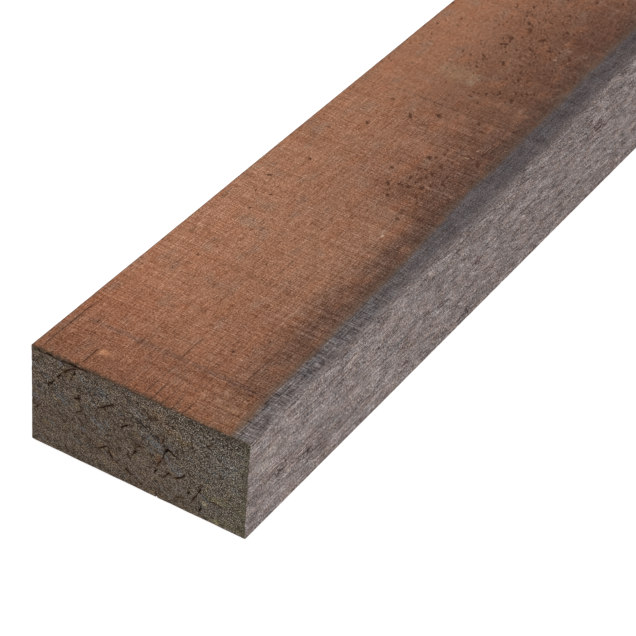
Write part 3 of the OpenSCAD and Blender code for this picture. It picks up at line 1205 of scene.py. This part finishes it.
def stained_cut(g, n):
    """The colour of the end grain with its patches, pores and pale flecks, but no cracks."""
    colour = g.mix(g.rise(g.t, 90, 135), END_BROWN, END_GREY)
    colour = g.mix(n.blue * 0.65, colour, END_BLUE)
    colour = g.mix(n.plum * 0.5, colour, END_PLUM)
    colour = g.mix(n.ochre * 0.6, colour, END_OCHRE)
    far = g.maths("GREATER_THAN", g.s, LENGTH / 2)
    t = g.t + far * ELSEWHERE * WIDTH
    rag = n.clots * 2 + n.weave * 1.4 + n.pores * 2
    colour = g.patches(colour, t, g.v, END_BANDS, rag, END_TILT)
    # END_MARKS ends with painted shade along the bottom edge of the end.
    colour = g.patches(colour, t, g.v, END_MARKS, rag)
    dotted = g.rise(g.t - g.v * 0.5, 70, 100)
    tone = n.pores * 230 + n.grit * (dotted * 110 + 240) + n.clots * 48
    tone = tone + n.hatch * (120 - dotted * 50)
    tone = tone + n.weave * (dotted * 60 + 50) + n.rings * 44 + n.cloud * 36 - 6
    tone = tone + g.spot(g.t, g.v, 84, 49, 34, 13) * 10
    tone = tone * (1.13 - g.rise(g.v, 15, 45) * (0.29 - dotted * 0.16))
    colour = g.brighten(colour, tone)
    flecks = g.specks(g.t, g.v, 3.2, 1.1, g.rise(g.t + g.v * 0.6, 140, 180) * 0.5, n.clots * 4)
    return g.mix(flecks * 0.5, colour, FLECK_STRAW)


def end_grain():
    """Both ends: rough sawn end grain, grey-brown with bluish and ochre patches and cracks."""
    g = Paint("end_grain")
    n = cut_noises(g)
    colour = stained_cut(g, n)
    stain = g.attribute("stain")
    worm = n.cloud * 14 + n.clots * 6
    web = g.crackle(g.t + worm, g.v + worm * 0.7, 4.5, 0.62)
    split = g.spot(g.t, g.v, 72, 36, 66, 36)
    held = n.cut(4, 4, 1) + stain * 0.15 + split * 0.05
    web = web * g.rise(held, 0.06, 0.13)
    halo = g.rise(stain + n.clots * 1.1 + n.pores, 0.2, 0.85)
    colour = g.mix(halo * 0.7, colour, STAIN_BROWN)
    colour = g.mix(web * (n.pores * 3 + 0.8), colour, WEB_BROWN)
    # Painted shade inside the end's cracks
    crack = g.rise(g.attribute("crack") + n.pores * 0.9 + n.clots * 0.5, 0.1, 0.4)
    colour = g.mix(crack, colour, CRACK_SHADE)
    # Painted shade along the end's top edge, under the arris
    top_edge_shade = 1 - g.rise(g.v + (n.pores + n.clots) * 9, 0.6, 3.4)
    colour = g.mix(top_edge_shade * 0.55, colour, EDGE_SHADE)
    rim = 1 - g.rise(WIDTH - g.t + n.clots * 10, 0.5, 7)
    colour = g.mix(rim * 0.4, colour, END_RIM)
    height = n.pores + n.clots * 0.7 + n.hatch * 0.5 - web
    return g.finish(colour, DRY_ROUGHNESS, height, DRY_RELIEF)


# ------------------------------------------------------------------------- light and camera

# Floor and backdrop, in metres
FLOOR_MIDDLE = 1.5
FLOOR_GAP = 0.0002
FLOOR_RADIUS = 20.0
RIM_RADIUS = 3.6
RIM_STEPS = 12
FLOOR_SIDES = 96
FLOOR_GREY = (0.5, 0.5, 0.5)
FLOOR_ROUGHNESS = 0.9
FLOOR_GLOW = 0.75
WORLD_LIGHT = 0.34
# Lamps: place, the point they are turned towards and size, in metres, and power in watts
OVERHEAD_LAMP = ((0, 0, 5.0), (0, 0, 0), 6.0, 184)
KEY_LAMP = ((-3.2, -3.0, 3.4), (-0.6, 0, 0), 2.5, 50)
# Camera: turn, drop and roll in degrees, then its lens and its place from the near end's bottom
# middle (across, above and away, as the camera sees them), in millimetres
VIEW_TURN = 29.18
VIEW_DROP = 37.25
VIEW_ROLL = 4.57
VIEW_PLACE = (104.4, 97.7, 1440.0)
LENS = 141.84
VIEW_CLIP = (0.05, 100)


def plain_material(name, colour, roughness, glow):
    """An even material with no shine, a little lit from within."""
    made = bpy.data.materials.new(name)
    made.use_nodes = True
    shader = made.node_tree.nodes["Principled BSDF"]
    shader.inputs["Base Color"].default_value = (*colour, 1.0)
    shader.inputs["Roughness"].default_value = roughness
    shader.inputs["Specular IOR Level"].default_value = 0.0
    shader.inputs["Emission Color"].default_value = (1, 1, 1, 1)
    shader.inputs["Emission Strength"].default_value = glow
    return made


def make_floor():
    """A plain white floor that curves up into a backdrop."""
    turns = np.linspace(0, math.pi / 2, RIM_STEPS)
    radii = np.append(FLOOR_MIDDLE, FLOOR_RADIUS + RIM_RADIUS * np.sin(turns))
    heights = np.append(0, RIM_RADIUS * (1 - np.cos(turns))) - FLOOR_GAP
    points, faces = [(0, 0, heights[0])], []
    for radius, height in zip(radii, heights):
        for angle in np.arange(FLOOR_SIDES) * 2 * math.pi / FLOOR_SIDES:
            points.append((radius * math.cos(angle), radius * math.sin(angle), height))
    for k in range(FLOOR_SIDES):
        after = (k + 1) % FLOOR_SIDES
        faces.append((0, 1 + k, 1 + after))
        for ring in range(len(radii) - 1):
            low, high = 1 + ring * FLOOR_SIDES, 1 + (ring + 1) * FLOOR_SIDES
            faces.append((low + k, high + k, high + after, low + after))
    mesh = bpy.data.meshes.new("floor")
    mesh.from_pydata(points, [], faces)
    mesh.shade_smooth()
    paint = plain_material("floor_white", FLOOR_GREY, FLOOR_ROUGHNESS, FLOOR_GLOW)
    mesh.materials.append(paint)
    floor = bpy.data.objects.new("floor", mesh)
    bpy.context.scene.collection.objects.link(floor)


def area_light(name, place, aim, size, power):
    """A square soft light at place, turned towards aim, both in metres."""
    lamp = bpy.data.lights.new(name, "AREA")
    lamp.size, lamp.energy = size, power
    made = bpy.data.objects.new(name, lamp)
    made.location = place
    made.rotation_mode = "QUATERNION"
    made.rotation_quaternion = (Vector(aim) - Vector(place)).to_track_quat("-Z", "Y")
    made.visible_camera = False
    bpy.context.scene.collection.objects.link(made)


def make_light():
    """Soft studio light: an even white surround, a wide lamp overhead and one before the beam."""
    world = bpy.data.worlds.new("studio")
    world.use_nodes = True
    surround = world.node_tree.nodes["Background"].inputs
    surround["Color"].default_value = (1, 1, 1, 1)
    surround["Strength"].default_value = WORLD_LIGHT
    bpy.context.scene.world = world
    area_light("overhead", *OVERHEAD_LAMP)
    area_light("key", *KEY_LAMP)


def make_camera():
    """The camera at the photograph's viewing angle, placed from the near end's bottom middle."""
    turn, drop, roll = (math.radians(angle) for angle in (VIEW_TURN, VIEW_DROP, VIEW_ROLL))
    level = Vector((math.sin(turn), -math.cos(turn), 0))
    flat = Vector((-math.cos(turn), -math.sin(turn), 0)) * math.cos(drop)
    back = flat + Vector((0, 0, math.sin(drop)))
    upright = back.cross(level)
    right = level * math.cos(roll) + upright * math.sin(roll)
    up = upright * math.cos(roll) - level * math.sin(roll)
    start = Vector((LOW.x, (LOW.y + HIGH.y) / 2, LOW.z))
    across, above, away = (MM * part for part in VIEW_PLACE)
    place = start + right * across + up * above + back * away
    lens = bpy.data.cameras.new("camera")
    lens.lens = LENS
    lens.clip_start, lens.clip_end = VIEW_CLIP
    made = bpy.data.objects.new("camera", lens)
    turned = Matrix((right, up, back)).transposed().to_4x4()
    made.matrix_world = Matrix.Translation(place) @ turned
    bpy.context.scene.collection.objects.link(made)
    bpy.context.scene.camera = made


beam = build_beam()
for material in (sawn_face(), weathered_side(), end_grain()):
    beam.data.materials.append(material)
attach(beam, "root")
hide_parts(NODE)
make_floor()
make_light()
make_camera()
bpy.context.scene.view_settings.view_transform = "Standard"
